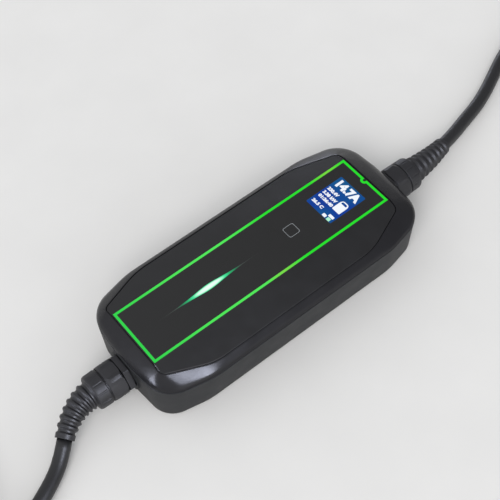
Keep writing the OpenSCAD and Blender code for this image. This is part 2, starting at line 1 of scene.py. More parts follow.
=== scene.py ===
"""Looks of a portable EV charger: its finishes, cables and lit front, with camera, lamps and floor."""
import logging
import math
from dataclasses import dataclass
from enum import Enum
from typing import Any, Sequence

import bpy
import numpy as np
from mathutils import Matrix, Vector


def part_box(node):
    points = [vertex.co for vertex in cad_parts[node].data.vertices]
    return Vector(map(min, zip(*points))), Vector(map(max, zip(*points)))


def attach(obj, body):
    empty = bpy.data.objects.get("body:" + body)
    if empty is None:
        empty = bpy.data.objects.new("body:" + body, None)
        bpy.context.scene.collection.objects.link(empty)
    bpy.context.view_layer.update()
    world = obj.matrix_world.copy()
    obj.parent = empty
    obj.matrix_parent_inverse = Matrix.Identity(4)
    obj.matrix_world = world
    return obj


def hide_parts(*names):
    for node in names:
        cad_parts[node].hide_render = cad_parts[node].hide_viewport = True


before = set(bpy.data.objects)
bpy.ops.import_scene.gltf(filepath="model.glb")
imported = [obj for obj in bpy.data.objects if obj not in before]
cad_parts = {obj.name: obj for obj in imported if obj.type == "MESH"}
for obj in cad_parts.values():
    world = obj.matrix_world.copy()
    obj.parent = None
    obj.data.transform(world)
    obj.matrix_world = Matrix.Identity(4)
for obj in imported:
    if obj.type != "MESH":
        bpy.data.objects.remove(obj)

LOG = logging.getLogger("charger")
MM = 0.001
BODY = "root"
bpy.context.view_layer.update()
# Colour sockets of a Mix node: two inputs and the output
MIX_A, MIX_B, MIX_OUT = 6, 7, 2
# Range that most of a noise texture's values lie in
NOISE_LOW, NOISE_HIGH = 0.3, 0.7


class Rounding(Enum):
    """Edges of a merged copy: bevel in mm, and the angle in degrees from which an edge stays a crease."""

    SHELL = (0.5, 24.0)
    BAND = (0.0, 24.0)
    FRONT = (0.0, 10.0)
    FITTING = (0.35, 30.0)
    RIBBED = (0.3, 36.0)


class Reach(Enum):
    """Rays that a lamp answers, glossy and diffuse: a window's mirror image alone, or matt light alone."""

    SHINE = (True, False)
    MATT = (False, True)


def linear(colour: str) -> tuple[float, float, float, float]:
    """Turns an sRGB hex colour into linear values.

    Args:
        colour: Six hex digits after a hash.

    Returns:
        Red, green, blue and full opacity.
    """
    srgb = np.array([int(colour[i:i + 2], 16) for i in (1, 3, 5)]) / 255.0
    values = np.where(srgb <= 0.04045, srgb / 12.92, ((srgb + 0.055) / 1.055) ** 2.4)
    return (*[float(v) for v in values], 1.0)


def add(tree: bpy.types.NodeTree, kind: str, inputs: dict | None = None, **settings: Any) -> bpy.types.Node:
    """Adds one shader node.

    Args:
        tree: Node tree of the material.
        kind: Node type.
        inputs: Socket name or number, with a value or an output socket to link.
        settings: Attributes of the node.

    Returns:
        The node.
    """
    made = tree.nodes.new(kind)
    for key, value in settings.items():
        setattr(made, key, value)
    for name, value in (inputs or {}).items():
        if isinstance(value, bpy.types.NodeSocket):
            tree.links.new(value, made.inputs[name])
        else:
            made.inputs[name].default_value = value
    return made


def blank(name: str) -> tuple[bpy.types.Material, bpy.types.NodeTree, bpy.types.Node]:
    """Makes a material with its Principled shader.

    Args:
        name: Material and process, in plain words.

    Returns:
        The material, its tree and the shader node.
    """
    made = bpy.data.materials.new(name)
    made.use_nodes = True
    return made, made.node_tree, made.node_tree.nodes["Principled BSDF"]


def spread(ramp: bpy.types.Node, stops: Sequence[tuple[float, str]]) -> None:
    """Sets a colour ramp's stops.

    Args:
        ramp: Colour ramp node.
        stops: Place from 0 to 1 and sRGB hex colour of each stop, in order.
    """
    elements = ramp.color_ramp.elements
    for index, (place, colour) in enumerate(stops):
        stop = elements[index] if index < 2 else elements.new(place)
        stop.position, stop.color = place, linear(colour)


def light_up(shader: bpy.types.Node, strength: float = 1.0, roughness: float = 0.25,
             specular: float = 0.15) -> None:
    """Sets a shader to give its own light from a near black body.

    Args:
        shader: Principled shader.
        strength: Strength of the light.
        roughness: Roughness of the cover over it.
        specular: Specular level of the cover.
    """
    shader.inputs["Base Color"].default_value = linear("#050505")
    shader.inputs["Emission Strength"].default_value = strength
    shader.inputs["Roughness"].default_value = roughness
    shader.inputs["Specular IOR Level"].default_value = specular


@dataclass(frozen=True)
class Finish:
    """Any finish, by the name of its material and its process."""

    name: str

    def material(self) -> bpy.types.Material:
        """Builds the finish, in the way of its own kind."""
        raise NotImplementedError(self.name)


@dataclass(frozen=True)
class Moulding(Finish):
    """Moulded or extruded plastic and rubber: one colour with a slight mottle, and the grain of its tool.

    A real tool's grain is finer than 0.1 mm. It is drawn coarser, so that it shows in a render.
    """

    colour: str
    roughness: float
    grain_mm: float = 0.5
    relief_mm: float = 0.02
    mottle: float = 0.12
    specular: float = 0.5
    broad_mm: float = 14.0
    gloss_change: float = 0.04

    def material(self) -> bpy.types.Material:
        """Builds the finish.

        Returns:
            A material with broad mottle in colour and roughness, and fine relief.
        """
        made, tree, shader = blank(self.name)
        where = add(tree, "ShaderNodeTexCoord").outputs["Object"]
        broad = add(tree, "ShaderNodeTexNoise",
                    {"Vector": where, "Scale": 1 / (self.broad_mm * MM), "Detail": 4.0})
        fine = add(tree, "ShaderNodeTexNoise",
                   {"Vector": where, "Scale": 1 / (self.grain_mm * MM), "Detail": 2.0})
        dark, light = ([c * k for c in linear(self.colour)[:3]] + [1.0]
                       for k in (1 - self.mottle, 1 + self.mottle))
        tint = add(tree, "ShaderNodeMix", {0: broad.outputs[0], MIX_A: dark, MIX_B: light}, data_type="RGBA")
        gloss = add(tree, "ShaderNodeMapRange",
                    {"Value": broad.outputs[0], "From Min": NOISE_LOW, "From Max": NOISE_HIGH,
                     "To Min": self.roughness - self.gloss_change,
                     "To Max": self.roughness + self.gloss_change})
        bump = add(tree, "ShaderNodeBump", {"Height": fine.outputs[0], "Distance": self.relief_mm * MM})
        tree.links.new(tint.outputs[MIX_OUT], shader.inputs["Base Color"])
        tree.links.new(gloss.outputs[0], shader.inputs["Roughness"])
        tree.links.new(bump.outputs[0], shader.inputs["Normal"])
        shader.inputs["Specular IOR Level"].default_value = self.specular
        return made


@dataclass(frozen=True)
class Plating(Finish):
    """Plated or drawn metal: bright, with fine lengthwise lines from drawing or rolling."""

    colour: str
    roughness: float
    line_mm: float = 0.25
    stretch: float = 0.06
    gloss_change: tuple[float, float] = (-0.06, 0.08)

    def material(self) -> bpy.types.Material:
        """Builds the finish.

        Returns:
            A metallic material whose roughness varies in fine lines.
        """
        made, tree, shader = blank(self.name)
        where = add(tree, "ShaderNodeTexCoord").outputs["Object"]
        drawn = add(tree, "ShaderNodeMapping", {"Vector": where, "Scale": (1.0, self.stretch, 1.0)})
        lines = add(tree, "ShaderNodeTexNoise",
                    {"Vector": drawn.outputs[0], "Scale": 1 / (self.line_mm * MM)})
        low, high = self.gloss_change
        gloss = add(tree, "ShaderNodeMapRange",
                    {"Value": lines.outputs[0], "From Min": NOISE_LOW, "From Max": NOISE_HIGH,
                     "To Min": self.roughness + low, "To Max": self.roughness + high})
        tree.links.new(gloss.outputs[0], shader.inputs["Roughness"])
        shader.inputs["Base Color"].default_value = linear(self.colour)
        shader.inputs["Metallic"].default_value = 1.0
        return made


@dataclass(frozen=True)
class Laminate(Finish):
    """Circuit board: solder mask over copper tracks, which show as paler lines at right angles."""

    colour: str
    track: str
    pitch_mm: float = 2.5
    track_share: float = 0.06
    roughness: float = 0.4

    def material(self) -> bpy.types.Material:
        """Builds the finish.

        Returns:
            A satin material with a brick pattern of tracks.
        """
        made, tree, shader = blank(self.name)
        where = add(tree, "ShaderNodeTexCoord").outputs["Object"]
        mask = linear(self.colour)
        tracks = add(tree, "ShaderNodeTexBrick",
                     {"Vector": where, "Color1": mask, "Color2": mask, "Mortar": linear(self.track),
                      "Scale": 1 / (2 * self.pitch_mm * MM), "Mortar Size": self.track_share})
        tree.links.new(tracks.outputs[0], shader.inputs["Base Color"])
        shader.inputs["Roughness"].default_value = self.roughness
        return made


@dataclass(frozen=True)
class Lit(Finish):
    """Lit print behind the smoked sheet: its own colour and its own light, under a gloss."""

    colour: str
    strength: float
    second: str = ""
    cell_mm: float = 0.0
    mixed_from: float = 0.4
    mixed_to: float = 0.7

    def material(self) -> bpy.types.Material:
        """Builds the finish.

        Returns:
            A glossy material that gives light, clouded with the second colour where one is named.
        """
        made, tree, shader = blank(self.name)
        light_up(shader, self.strength)
        shader.inputs["Emission Color"].default_value = linear(self.colour)
        if self.second:
            where = add(tree, "ShaderNodeTexCoord").outputs["Object"]
            cloud = add(tree, "ShaderNodeTexNoise",
                        {"Vector": where, "Scale": 1 / (self.cell_mm * MM), "Detail": 1.0})
            share = add(tree, "ShaderNodeMapRange",
                        {"Value": cloud.outputs[0], "From Min": self.mixed_from, "From Max": self.mixed_to})
            tint = add(tree, "ShaderNodeMix",
                       {0: share.outputs[0], MIX_A: linear(self.colour), MIX_B: linear(self.second)},
                       data_type="RGBA")
            tree.links.new(tint.outputs[MIX_OUT], shader.inputs["Emission Color"])
        return made


@dataclass(frozen=True)
class EdgeLit(Finish):
    """Clear frame lit through its edge: colours that change along it, and one yellower colour mixed in round
    given spots.
    """

    along: tuple[tuple[float, str], ...]
    # Yellower colour mixed in round each given spot
    lamp: str
    spots_mm: tuple[tuple[float, float, float], ...]
    reach_mm: float = 16.0
    spot_share: float = 0.75

    def material(self) -> bpy.types.Material:
        """Builds the finish.

        Returns:
            A material that gives light, coloured by its place along the frame and yellower near the given
            spots.
        """
        made, tree, shader = blank(self.name)
        where = add(tree, "ShaderNodeTexCoord").outputs["Object"]
        x = add(tree, "ShaderNodeSeparateXYZ", {0: where}).outputs[0]
        first, last = self.along[0][0], self.along[-1][0]
        share = add(tree, "ShaderNodeMapRange", {"Value": x, "From Min": first * MM, "From Max": last * MM})
        ramp = add(tree, "ShaderNodeValToRGB", {0: share.outputs[0]})
        spread(ramp, [((place - first) / (last - first), colour) for place, colour in self.along])
        tint = ramp.outputs[0]
        # Mixes the yellower colour in round each given spot, fading with distance
        for spot in self.spots_mm:
            away = add(tree, "ShaderNodeVectorMath", {0: where, 1: [c * MM for c in spot]},
                       operation="DISTANCE")
            near = add(tree, "ShaderNodeMapRange",
                       {"Value": away.outputs["Value"], "From Max": self.reach_mm * MM,
                        "To Min": self.spot_share, "To Max": 0.0})
            mixed = add(tree, "ShaderNodeMix", {0: near.outputs[0], MIX_A: tint, MIX_B: linear(self.lamp)},
                        data_type="RGBA")
            tint = mixed.outputs[MIX_OUT]
        light_up(shader)
        tree.links.new(tint, shader.inputs["Emission Color"])
        return made


@dataclass(frozen=True)
class Glow(Finish):
    """Lamp behind a light guide: brightest at one place, falling off along a length and across a width."""

    middle_mm: float
    reach_mm: tuple[float, float]
    stops: tuple[tuple[float, str], ...]

    def material(self) -> bpy.types.Material:
        """Builds the finish.

        Returns:
            A material that glows by the distance from its middle, x over the length and y over the width.
        """
        made, tree, shader = blank(self.name)
        where = add(tree, "ShaderNodeTexCoord").outputs["Object"]
        moved = add(tree, "ShaderNodeMapping",
                    {"Vector": where, "Location": (-self.middle_mm * MM, 0.0, 0.0)})
        scale = [1 / (reach * MM) for reach in self.reach_mm]
        sized = add(tree, "ShaderNodeVectorMath", {0: moved.outputs[0], 1: (*scale, 0.0)},
                    operation="MULTIPLY")
        away = add(tree, "ShaderNodeVectorMath", {0: sized.outputs[0]}, operation="LENGTH")
        ramp = add(tree, "ShaderNodeValToRGB", {0: away.outputs["Value"]})
        spread(ramp, self.stops)
        light_up(shader, roughness=0.3, specular=0.5)
        tree.links.new(ramp.outputs[0], shader.inputs["Emission Color"])
        return made


@dataclass(frozen=True)
class Paint(Finish):
    """Painted board: a matt pale colour with broad faint clouds."""

    dark: str
    light: str
    cloud_mm: float
    roughness: float = 0.85

    def material(self) -> bpy.types.Material:
        """Builds the finish.

        Returns:
            A matt material without a mirror share.
        """
        made, tree, shader = blank(self.name)
        where = add(tree, "ShaderNodeTexCoord").outputs["Object"]
        cloud = add(tree, "ShaderNodeTexNoise",
                    {"Vector": where, "Scale": 1 / (self.cloud_mm * MM), "Detail": 6.0})
        tint = add(tree, "ShaderNodeMix",
                   {0: cloud.outputs[0], MIX_A: linear(self.dark), MIX_B: linear(self.light)},
                   data_type="RGBA")
        tree.links.new(tint.outputs[MIX_OUT], shader.inputs["Base Color"])
        shader.inputs["Roughness"].default_value = self.roughness
        shader.inputs["Specular IOR Level"].default_value = 0.0
        return made


def middle_x(node: str) -> float:
    """Middle of a solid along x, in mm."""
    return sum(corner.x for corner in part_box(node)) / 2 / MM


# Spark-eroded tool: matt, so the sides take a broad soft sheen
LOWER_ABS = Moulding("black ABS, spark-eroded", "#28292b", 0.5, 0.6, 0.02, specular=0.14)
# Polished tool: a tight sheen that shows windows along the sloped band
BAND_ABS = Moulding("black ABS, satin moulded", "#222225", 0.23, 0.5, 0.003, specular=0.2)
# Fine satin tool: deeper black than the band, without its streaks
FRONT_ABS = Moulding("black ABS, fine satin front", "#151517", 0.34, 0.5, 0.006)
# Smoked sheet with a hard coat: near black, with a soft even gloss
SMOKED_PC = Moulding("smoked polycarbonate, hard-coated sheet", "#1b1b1b", 0.3, 0.4, 0.002, 0.06)
# Edge-lit clear green: an even bright line, paler towards the vehicle end and yellower round two given spots
GREEN_PC = EdgeLit("green polycarbonate, edge-lit frame",
                   ((-110.0, "#2ed44a"), (-60.0, "#4be456"), (-15.0, "#50e858"), (25.0, "#22de29")),
                   "#86d444", ((84.0, 24.0, 52.0), (3.5, -24.0, 52.0)))
# Clear guide over green lamps: a white middle that fades through green into the dark sheet
GLOW = Glow("clear acrylic, lit green from behind", middle_x("charge_light"), (35.0, 5.2),
            ((0.0, "#f2fff8"), (0.26, "#dcfdee"), (0.4, "#3fe69c"), (0.52, "#10b06a"), (0.7, "#1c6a48"),
             (0.82, "#3c4742"), (1.0, "#353a38")))
# Glass-filled, from a dull tool: grey sheen on the flats
GLAND_PA = Moulding("black polyamide, moulded fitting", "#262629", 0.46, 0.5, 0.01, specular=0.4)
# Soft rubber: dull, with edges that hardly shine
BOOT_TPE = Moulding("black thermoplastic rubber, moulded boot", "#232326", 0.48, 0.5, 0.03)
# Carbon-filled rubber: the darkest line on the box
SEAL_EPDM = Moulding("black EPDM rubber, moulded seal", "#0b0b0b", 0.8, 0.4, 0.03)
# Extruded jacket: a long soft streak and a faint drag mark
JACKET_TPU = Moulding("black polyurethane, extruded jacket", "#1d1d1f", 0.45, 0.6, 0.02)
# Rubber over a hard core: dull and slightly grey
PLUG_TPE = Moulding("black rubberised polyamide, moulded grip", "#27272a", 0.5, 0.6, 0.04)
# Glass fibre near the surface: satin with a faint mottle
NOSE_PA = Moulding("black polyamide, glass filled", "#1f1f21", 0.45, 0.5, 0.02)
# Thin zinc: pale grey with a slightly cloudy shine
SCREW_STEEL = Plating("zinc-plated steel, cold headed", "#b9babc", 0.32)
# Bright nickel: warm white mirror with turning lines
PIN_NICKEL = Plating("nickel-plated brass, turned pin", "#c9c4b6", 0.2)
# Bare rolled brass: yellow with lines along the strip
CLIP_BRASS = Plating("brass, rolled spring strip", "#c9a24e", 0.28)
# Etched copper: reddish and dull
COPPER = Plating("copper, etched pad", "#c77d4c", 0.35)
# Solder mask: green gloss with paler tracks under it
MASK = Laminate("glass-epoxy laminate, green solder mask", "#17502f", "#3d7a4a")
# Coloured PBT: an even blue with a low shine
CASE_BLUE = Moulding("blue PBT, moulded relay case", "#24406e", 0.4)
# Black PBT: dark grey and dull
CASE_BLACK = Moulding("black PBT, moulded case", "#2a2a2e", 0.5)
# Wound tape: yellow gloss over soft edges
TAPE = Moulding("yellow polyester tape, wound", "#d9bf36", 0.3, 1.2, 0.02)
# Shrunk sleeve: dark with a tight gloss
SLEEVE = Moulding("dark PET sleeve, shrunk on aluminium", "#33363c", 0.3)
# Dipped epoxy: blue, rounded and slightly shiny
DISC = Moulding("blue epoxy, dipped disc", "#2f6fae", 0.35)
# Moulded epoxy: flat black
EPOXY = Moulding("black epoxy, transfer moulded", "#19191b", 0.6, 0.3)
# Coloured polyamide: green with a low shine
TERMINAL = Moulding("green polyamide, terminal block", "#3c8f4e", 0.45)
# Ribbon cable: pale grey with a ridge for each core
RIBBON = Moulding("grey PVC, ribbon cable", "#c9c9c2", 0.5, 1.27, 0.05)
# Core insulation: smooth brown gloss
CORE = Moulding("brown PVC, extruded core", "#7a3b22", 0.35)
# Hook-and-loop webbing: no shine, coarse weave
WEBBING = Moulding("black nylon webbing, hook-and-loop", "#303032", 0.85, 1.4, 0.25)
# Frosted guide: pale green, even
GUIDE = Moulding("clear acrylic, moulded light guide", "#a8f0cc", 0.2)
# White reflector body: chalky
LED = Moulding("white PPA, moulded LED", "#e6e6da", 0.4)
# Backlit field: deep blue that clears to a lighter blue
SCREEN = Lit("liquid crystal display, blue field", "#063c9e", 0.9, "#09628e", 26.0)
# Backlit figures: bluish white
GLYPH = Lit("liquid crystal display, white figures", "#f4f8ff", 1.0)
# Backlit mark: pale green
DOT = Lit("liquid crystal display, green mark", "#b8ffd9", 0.9)
# Printed line under the coat: thin and dull grey
KEY_PRINT = Moulding("silver-grey ink, screen printed", "#85898c", 0.4, 0.4, 0.002)
# Wall paint on board: pale and chalky, with clouds that hardly show
FLOOR_PAINT = Paint("pale painted board, matt", "#e6e6e4", "#eeeeec", 60.0)

NODE_FINISH: dict[str, Finish] = {
    "front_panel": SMOKED_PC, "green_border": GREEN_PC, "housing_seal": SEAL_EPDM,
    "housing_screws": SCREW_STEEL, "display_board": MASK, "display_board_screws": SCREW_STEEL,
    "display_module": SCREEN, "charge_light": GUIDE, "charge_leds": LED, "touch_sensor": COPPER,
    "main_board": MASK, "main_board_screws": SCREW_STEEL, "relays": CASE_BLUE, "leakage_sensor": CASE_BLACK,
    "power_module": TAPE, "capacitors": SLEEVE, "surge_parts": DISC, "controller_chips": EPOXY,
    "terminal_supply": TERMINAL, "terminal_vehicle": TERMINAL, "board_link": RIBBON, "sensor_cores": CORE,
    "cable_cores_supply": CORE, "cable_cores_vehicle": CORE, "gland_washer_supply": SEAL_EPDM,
    "gland_washer_vehicle": SEAL_EPDM, "gland_locknut_supply": GLAND_PA, "gland_locknut_vehicle": GLAND_PA,
    "gland_seal_supply": SEAL_EPDM, "gland_seal_vehicle": SEAL_EPDM, "cable_stub_supply": JACKET_TPU,
    "cable_stub_vehicle": JACKET_TPU, "plug_boot": BOOT_TPE, "plug_body": PLUG_TPE, "plug_pins": PIN_NICKEL,
    "plug_earth_clips": CLIP_BRASS, "hank_ties": WEBBING, "connector_boot": BOOT_TPE,
    "connector_grip": PLUG_TPE, "connector_nose": NOSE_PA, "connector_cap": BOOT_TPE,
}

SKIN_FINISH: dict[str, tuple[Finish, Rounding, str]] = {
    "lower_shell": (LOWER_ABS, Rounding.SHELL, "shell_plastic"),
    "upper_shell": (BAND_ABS, Rounding.BAND, "band_plastic"),
    "fascia": (FRONT_ABS, Rounding.FRONT, "band_plastic"),
    "gland_body_supply": (GLAND_PA, Rounding.FITTING, "gland_nylon"),
    "gland_body_vehicle": (GLAND_PA, Rounding.FITTING, "gland_nylon"),
    "gland_nut_supply": (GLAND_PA, Rounding.FITTING, "gland_nylon"),
    "gland_nut_vehicle": (GLAND_PA, Rounding.FITTING, "gland_nylon"),
    "bend_boot_supply": (BOOT_TPE, Rounding.RIBBED, "boot_rubber"),
    "bend_boot_vehicle": (BOOT_TPE, Rounding.RIBBED, "boot_rubber"),
}


class Workshop:
    """Keeps the materials that were made, and turns meshes into pieces on the part's body."""

    def __init__(self) -> None:
        """Starts with no materials."""
        self.made: dict[str, bpy.types.Material] = {}

    def finish(self, kind: Finish) -> bpy.types.Material:
        """Gives the material of a finish, made once.

        Args:
            kind: Finish to look up.

        Returns:
            Its material.
        """
        if kind.name not in self.made:
            self.made[kind.name] = kind.material()
        return self.made[kind.name]

    def piece(self, mesh: bpy.types.Mesh, kind: Finish, slot: str, *stands_for: str) -> bpy.types.Object:
        """Links a mesh as a piece of the object.

        Args:
            mesh: Mesh in the part's frame.
            kind: Finish of the piece.
            slot: Material slot of the record; not used.
            stands_for: Solids that the piece replaces.

        Returns:
            The piece, riding on the body.
        """
        made = bpy.data.objects.new(mesh.name, mesh)
        bpy.context.scene.collection.objects.link(made)
        mesh.materials.append(self.finish(kind))
        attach(made, BODY)
        if stands_for:
            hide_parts(*stands_for)
        LOG.info("%s: %d faces", made.name, len(mesh.polygons))
        return made


def mesh_of(name: str, points: np.ndarray, faces: Sequence[Sequence[int]],
            smooth: bool = True) -> bpy.types.Mesh:
    """Makes a mesh from arrays.

    Args:
        name: Name of the mesh.
        points: Corner points in metres, one row each.
        faces: Corner numbers of each face, counter-clockwise from outside.
        smooth: Whether faces are shaded smooth.

    Returns:
        The mesh.
    """
    made = bpy.data.meshes.new(name)
    made.from_pydata(points.tolist(), [], [list(map(int, f)) for f in faces])
    made.polygons.foreach_set("use_smooth", np.full(len(made.polygons), smooth))
    made.update()
    return made


def points_of(mesh: bpy.types.Mesh) -> np.ndarray:
    """Reads a mesh's points.

    Args:
        mesh: Mesh to read.

    Returns:
        One row for each vertex.
    """
    flat = np.empty(len(mesh.vertices) * 3)
    mesh.vertices.foreach_get("co", flat)
    return flat.reshape(-1, 3)


def corners_of(mesh: bpy.types.Mesh) -> np.ndarray:
    """Reads the vertex number of each face corner.

    Args:
        mesh: Mesh to read.

    Returns:
        One number for each corner.
    """
    numbers = np.empty(len(mesh.loops), int)
    mesh.loops.foreach_get("vertex_index", numbers)
    return numbers


def grid_faces(rings: int, sides: int) -> np.ndarray:
    """Quads between rings of a closed tube: corner i of ring j meets i + 1 of j, and both of j + 1.

    Args:
        rings: Number of rings.
        sides: Points in each ring.

    Returns:
        Corner numbers, four to a row.
    """
    j, i = np.meshgrid(np.arange(rings - 1), np.arange(sides), indexing="ij")
    k = (i + 1) % sides
    quads = [j * sides + i, j * sides + k, (j + 1) * sides + k, (j + 1) * sides + i]
    return np.stack(quads, -1).reshape(-1, 4)


def slab(name: str, outline: np.ndarray, low: float, high: float) -> bpy.types.Mesh:
    """Flat plate: the outline at two heights, with a wall between them.

    Args:
        name: Name of the mesh.
        outline: Points in mm, counter-clockwise from above.
        low: Lower height in mm.
        high: Upper height in mm.

    Returns:
        A closed mesh.
    """
    n = len(outline)
    points = np.concatenate([np.column_stack([outline, np.full(n, z)]) for z in (low, high)]) * MM
    faces = [*grid_faces(2, n), np.arange(n, 2 * n), np.arange(n)[::-1]]
    return mesh_of(name, points, faces, smooth=False)


def ring_slab(name: str, outer: np.ndarray, inner: np.ndarray, low: float, high: float) -> bpy.types.Mesh:
    """Flat frame between two outlines of equal point count: four loops, and the last joins the first.

    Args:
        name: Name of the mesh.
        outer: Outer points in mm, counter-clockwise.
        inner: Inner points in mm, in the same order.
        low: Lower height in mm.
        high: Upper height in mm.

    Returns:
        A closed mesh.
    """
    n = len(outer)
    loops = [(outer, low), (outer, high), (inner, high), (inner, low)]
    points = np.concatenate([np.column_stack([outline, np.full(n, z)]) for outline, z in loops]) * MM
    faces = grid_faces(len(loops) + 1, n) % (len(loops) * n)
    return mesh_of(name, points, faces, smooth=False)


def superellipse(half_a: float, half_b: float, power: float, count: int, foot: float = 0.0) -> np.ndarray:
    """Rounded rectangle: |x/a|^p + |y/b|^p = 1, walked once round.

    Args:
        half_a: Half size along x.
        half_b: Half size along y.
        power: 2 for an ellipse, larger for squarer.
        count: Number of points.
        foot: Power of the lower half, if it differs.

    Returns:
        Points, counter-clockwise.
    """
    t = np.linspace(0, 2 * np.pi, count, endpoint=False)
    c, s = np.cos(t), np.sin(t)
    bend = 2 / np.where(s < 0, foot or power, power)
    return np.column_stack([half_a * np.sign(c) * np.abs(c) ** bend, half_b * np.sign(s) * np.abs(s) ** bend])


def even_normals(mesh: bpy.types.Mesh, passes: int, alike: float) -> None:
    """Evens a mesh's shading: in each pass a corner's normal moves halfway to the mean of its neighbours'.

    Args:
        mesh: Triangles with sharp edges marked.
        passes: Number of passes.
        alike: Least cosine between neighbours that are mixed, so that creases stay.
    """
    flat = np.empty(len(mesh.loops) * 3)
    mesh.corner_normals.foreach_get("vector", flat)
    keys = np.column_stack([corners_of(mesh), np.round(flat.reshape(-1, 3), 2)])
    fans, fan = np.unique(keys, axis=0, return_inverse=True)
    fan = fan.reshape(-1)
    normals = fans[:, 1:] / np.linalg.norm(fans[:, 1:], axis=1, keepdims=True)
    corners = fan.reshape(-1, 3)
    one, two = np.concatenate([corners, corners[:, [1, 2, 0]]]).T[:2].reshape(2, -1)
    for _ in range(passes):
        total = np.zeros_like(normals)
        mixed = (normals[one] * normals[two]).sum(1) > alike
        np.add.at(total, one[mixed], normals[two[mixed]])
        np.add.at(total, two[mixed], normals[one[mixed]])
        length = np.linalg.norm(total, axis=1, keepdims=True)
        normals = normals + total / np.where(length > 0, length, 1.0)
        normals /= np.linalg.norm(normals, axis=1, keepdims=True)
    mesh.normals_split_custom_set(normals[fan].tolist())


@dataclass
class Skins:
    """Merged copies of the solids that show, with their edges rounded as moulded edges are."""

    shop: Workshop
    decimals: int = 6
    even_passes: int = 4
    even_alike: float = 0.93
    bevel_segments: int = 2
    bevel_angle: float = 28.0

    def copy(self, node: str, kind: Finish, rounding: Rounding, slot: str) -> bpy.types.Object:
        """Merges a solid's triangles, shades it by angle and rounds its edges.

        Args:
            node: Solid to copy.
            kind: Finish of the copy.
            rounding: Edge radius and crease angle.
            slot: Material slot of the record.

        Returns:
            The copy, which stands for the solid.
        """
        bevel_mm, crease = rounding.value
        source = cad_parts[node].data
        points, merged = np.unique(np.round(points_of(source), self.decimals), axis=0, return_inverse=True)
        faces = merged.reshape(-1)[corners_of(source)].reshape(-1, 3)
        whole = (faces != np.roll(faces, 1, axis=1)).all(1)
        mesh = mesh_of(node + "_skin", points, faces[whole])
        mesh.set_sharp_from_angle(angle=math.radians(crease))
        if rounding is Rounding.BAND:
            even_normals(mesh, self.even_passes, self.even_alike)
        made = self.shop.piece(mesh, kind, slot, node)
        if bevel_mm:
            edge = made.modifiers.new("moulded edge", "BEVEL")
            edge.width = bevel_mm * MM
            edge.segments = self.bevel_segments
            edge.limit_method = "ANGLE"
            edge.angle_limit = math.radians(max(crease, self.bevel_angle))
            edge.use_clamp_overlap = True
            edge.harden_normals = True
        return made

    def build(self) -> dict[str, bpy.types.Object]:
        """Copies every solid that shows, and gives the copies by solid."""
        return {node: self.copy(node, *how) for node, how in SKIN_FINISH.items()}


def spline(points: np.ndarray, step: float) -> np.ndarray:
    """Natural cubic over chord length: second derivatives from the tridiagonal system, then evaluated.

    Args:
        points: Points to pass through.
        step: Spacing of the samples.

    Returns:
        Samples along the curve.
    """
    t = np.concatenate([[0.0], np.cumsum(np.linalg.norm(np.diff(points, axis=0), axis=1))])
    h = np.diff(t)
    n = len(points)
    system = np.eye(n)
    inner = np.arange(1, n - 1)
    system[inner, inner - 1] = h[:-1]
    system[inner, inner] = 2 * (h[:-1] + h[1:])
    system[inner, inner + 1] = h[1:]
    slope = np.diff(points, axis=0) / h[:, None]
    right = np.zeros_like(points)
    right[1:-1] = 6 * np.diff(slope, axis=0)
    second = np.linalg.solve(system, right)
    s = np.linspace(0, t[-1], max(2, int(np.ceil(t[-1] / step)) + 1))
    k = np.clip(np.searchsorted(t, s, side="right") - 1, 0, n - 2)
    a, b, w = (t[k + 1] - s)[:, None], (s - t[k])[:, None], h[k][:, None]
    bent = (second[k] * a ** 3 + second[k + 1] * b ** 3) / (6 * w)
    return bent + (points[k] / w - second[k] * w / 6) * a + (points[k + 1] / w - second[k + 1] * w / 6) * b


def tube(name: str, path: np.ndarray, radius: float, sides: int) -> bpy.types.Mesh:
    """Round tube: a circle in the plane across each sample's direction, with closed ends.

    Args:
        name: Name of the mesh.
        path: Samples of the centre line in metres.
        radius: Radius in metres.
        sides: Points round the tube.

    Returns:
        A closed mesh.
    """
    along = np.gradient(path, axis=0)
    along /= np.linalg.norm(along, axis=1, keepdims=True)
    side = np.cross(along, [0.0, 0.0, 1.0])
    side /= np.linalg.norm(side, axis=1, keepdims=True)
    up = np.cross(side, along)
    turn = np.linspace(0, 2 * np.pi, sides, endpoint=False)[None, :, None]
    points = path[:, None] + radius * (np.cos(turn) * up[:, None] + np.sin(turn) * side[:, None])
    count = len(path) * sides
    faces = [*grid_faces(len(path), sides), np.arange(sides)[::-1], np.arange(count - sides, count)]
    return mesh_of(name, points.reshape(-1, 3), faces)


@dataclass(frozen=True)
class Run:
    """One cable: the solids it stands for, its boot, its far end, its lay and the pieces that go with it."""

    name: str
    solids: tuple[str, ...]
    boot: str
    far_end: str
    lay: str
    fitted: tuple[str, ...]


